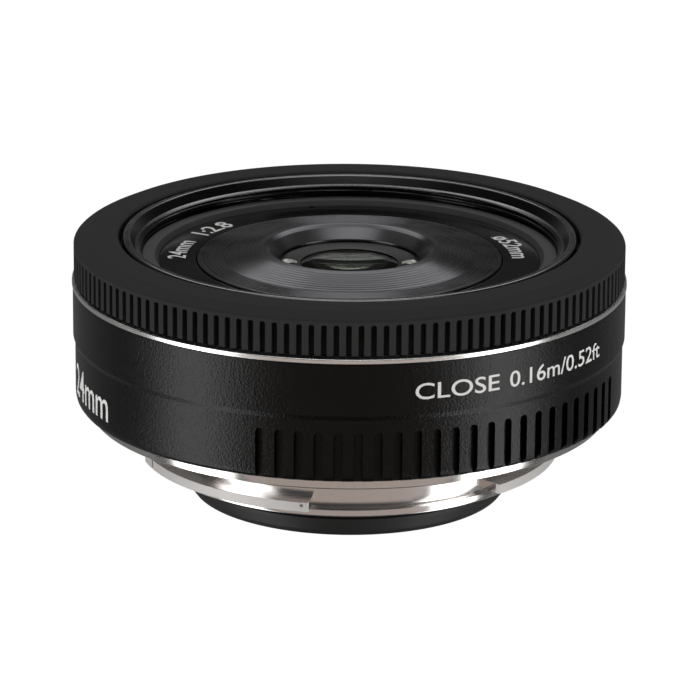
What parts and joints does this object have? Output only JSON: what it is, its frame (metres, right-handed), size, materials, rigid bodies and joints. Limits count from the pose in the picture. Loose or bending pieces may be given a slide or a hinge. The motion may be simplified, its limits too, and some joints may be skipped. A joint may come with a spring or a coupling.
{
  "type": "prime camera lens",
  "caption": "Slim fixed focal length camera lens with a ribbed manual focus ring, a bayonet mount, a filter thread, and moving optics driven by a cam ring and an iris of thin blades.",
  "frame": {"origin": "centre of the plane that the lens stands on, under the rear ring, on the optical axis", "axes": "+Z along the optical axis from the mount to the front glass; -Y is the side with the distance marking"},
  "size_m": [0.0682, 0.0682, 0.0325],
  "materials": {
    "shell": "fine speckled satin black",
    "focus_ring": "matte black with straight ribs",
    "trim": "polished",
    "bayonet": "polished and turned",
    "screws": "bright screws",
    "rear": "matte black",
    "contacts": "gold plated",
    "cable": "amber film",
    "board": "green solder mask",
    "chip": "moulded black",
    "chassis": "satin machined",
    "cam": "satin brass",
    "rollers": "turned brass",
    "gears": "moulded nylon",
    "motor": "drawn steel can",
    "felt": "black felt",
    "front_barrel": "satin black",
    "name_ring": "glossy black",
    "bezel": "dark satin with fine concentric ridges",
    "cells": "matte black",
    "glass": "coated optical glass",
    "blades": "blackened steel",
    "switch": "satin black",
    "index": "white"
  },
  "bodies": {
    "barrel": {"outer_shell": "shell", "trim_ring": "trim", "switch_plate": "switch", "mount_index": "index", "ring_seat": "cells", "dust_seal": "felt", "bayonet_mount": "bayonet", "mount_screw_1": "screws", "mount_screw_2": "screws", "mount_screw_3": "screws", "mount_screw_4": "screws", "rear_ring": "rear", "contact_block": "rear", "contact_pin_1": "contacts", "contact_pin_2": "contacts", "contact_pin_3": "contacts", "contact_pin_4": "contacts", "contact_pin_5": "contacts", "contact_pin_6": "contacts", "contact_pin_7": "contacts", "flex_cable": "cable", "base_plate": "chassis", "guide_tube": "chassis", "focus_motor": "motor", "circuit_board": "board", "control_chip": "chip"},
    "focus_ring": {"focus_ring": "focus_ring", "pulse_ring": "cells"},
    "cam_ring": {"cam_ring": "cam"},
    "idler_gear": {"idler_gear": "gears"},
    "motor_pinion": {"motor_pinion": "rollers"},
    "mode_switch": {"mode_switch": "switch"},
    "lens_barrel": {"filter_barrel": "front_barrel", "name_ring": "name_ring", "front_bezel": "bezel", "front_retaining_ring": "cells", "front_cell": "cells", "lens_carrier": "chassis", "cam_roller_1": "rollers", "cam_roller_2": "rollers", "cam_roller_3": "rollers", "front_element": "glass", "second_element": "glass", "iris_base": "cells", "iris_motor": "motor", "rear_cell": "cells", "doublet_front": "glass", "doublet_rear": "glass", "fifth_element": "glass", "rear_element": "glass", "rear_retaining_ring": "cells"},
    "iris_ring": {"iris_ring": "cells"},
    "iris_pinion": {"iris_pinion": "rollers"},
    "iris_blade_1": {"iris_blade_1": "blades"},
    "iris_blade_2": {"iris_blade_2": "blades"},
    "iris_blade_3": {"iris_blade_3": "blades"},
    "iris_blade_4": {"iris_blade_4": "blades"},
    "iris_blade_5": {"iris_blade_5": "blades"},
    "iris_blade_6": {"iris_blade_6": "blades"},
    "iris_blade_7": {"iris_blade_7": "blades"}
  },
  "joints": [
    {"name": "focus_ring_turn", "type": "hinge", "parent": "barrel", "child": "focus_ring", "pos_m": [0, 0, 0.029], "axis": [0, 0, 1], "continuous": true},
    {"name": "cam_turn", "type": "hinge", "parent": "barrel", "child": "cam_ring", "pos_m": [0, 0, 0.02], "axis": [0, 0, 1], "range_deg": [0, 72]},
    {"name": "optics_slide", "type": "slide", "parent": "barrel", "child": "lens_barrel", "axis": [0, 0, 1], "range_m": [0, 0.00541]},
    {"name": "idler_turn", "type": "hinge", "parent": "barrel", "child": "idler_gear", "pos_m": [0.01903, -0.02267, 0.0155], "axis": [0, 0, 1], "range_deg": [-994, 0]},
    {"name": "motor_turn", "type": "hinge", "parent": "barrel", "child": "motor_pinion", "pos_m": [0.02184, -0.02042, 0.0165], "axis": [0, 0, 1], "range_deg": [0, 1243]},
    {"name": "mode_switch_slide", "type": "hinge", "parent": "barrel", "child": "mode_switch", "pos_m": [0, 0, 0.02301], "axis": [0, 0, 1], "range_deg": [0, 5.4]},
    {"name": "iris_turn", "type": "hinge", "parent": "lens_barrel", "child": "iris_ring", "pos_m": [0, 0, 0.0214], "axis": [0, 0, 1], "range_deg": [0, 30]},
    {"name": "iris_motor_turn", "type": "hinge", "parent": "lens_barrel", "child": "iris_pinion", "pos_m": [0.0116, 0, 0.0214], "axis": [0, 0, 1], "range_deg": [-188, 0]},
    {"name": "blade_1_turn", "type": "hinge", "parent": "lens_barrel", "child": "iris_blade_1", "pos_m": [0, -0.0079, 0.0195], "axis": [0, 0, 1], "range_deg": [0, 21]},
    {"name": "blade_2_turn", "type": "hinge", "parent": "lens_barrel", "child": "iris_blade_2", "pos_m": [0.00618, -0.00493, 0.0195], "axis": [0, 0, 1], "range_deg": [0, 21]},
    {"name": "blade_3_turn", "type": "hinge", "parent": "lens_barrel", "child": "iris_blade_3", "pos_m": [0.0077, 0.00176, 0.0195], "axis": [0, 0, 1], "range_deg": [0, 21]},
    {"name": "blade_4_turn", "type": "hinge", "parent": "lens_barrel", "child": "iris_blade_4", "pos_m": [0.00343, 0.00712, 0.0195], "axis": [0, 0, 1], "range_deg": [0, 21]},
    {"name": "blade_5_turn", "type": "hinge", "parent": "lens_barrel", "child": "iris_blade_5", "pos_m": [-0.00343, 0.00712, 0.0195], "axis": [0, 0, 1], "range_deg": [0, 21]},
    {"name": "blade_6_turn", "type": "hinge", "parent": "lens_barrel", "child": "iris_blade_6", "pos_m": [-0.0077, 0.00176, 0.0195], "axis": [0, 0, 1], "range_deg": [0, 21]},
    {"name": "blade_7_turn", "type": "hinge", "parent": "lens_barrel", "child": "iris_blade_7", "pos_m": [-0.00618, -0.00493, 0.0195], "axis": [0, 0, 1], "range_deg": [0, 21]}
  ],
  "couplings": [
    {"joint": "optics_slide", "follows": "cam_turn", "m_per_rad": 0.0042972},
    {"joint": "idler_turn", "follows": "cam_turn", "ratio": -13.8},
    {"joint": "motor_turn", "follows": "cam_turn", "ratio": 17.25},
    {"joint": "iris_motor_turn", "follows": "iris_turn", "ratio": -6.25},
    {"joint": "blade_1_turn", "follows": "iris_turn", "ratio": 0.68333},
    {"joint": "blade_2_turn", "follows": "iris_turn", "ratio": 0.68333},
    {"joint": "blade_3_turn", "follows": "iris_turn", "ratio": 0.68333},
    {"joint": "blade_4_turn", "follows": "iris_turn", "ratio": 0.68333},
    {"joint": "blade_5_turn", "follows": "iris_turn", "ratio": 0.68333},
    {"joint": "blade_6_turn", "follows": "iris_turn", "ratio": 0.68333},
    {"joint": "blade_7_turn", "follows": "iris_turn", "ratio": 0.68333}
  ]
}
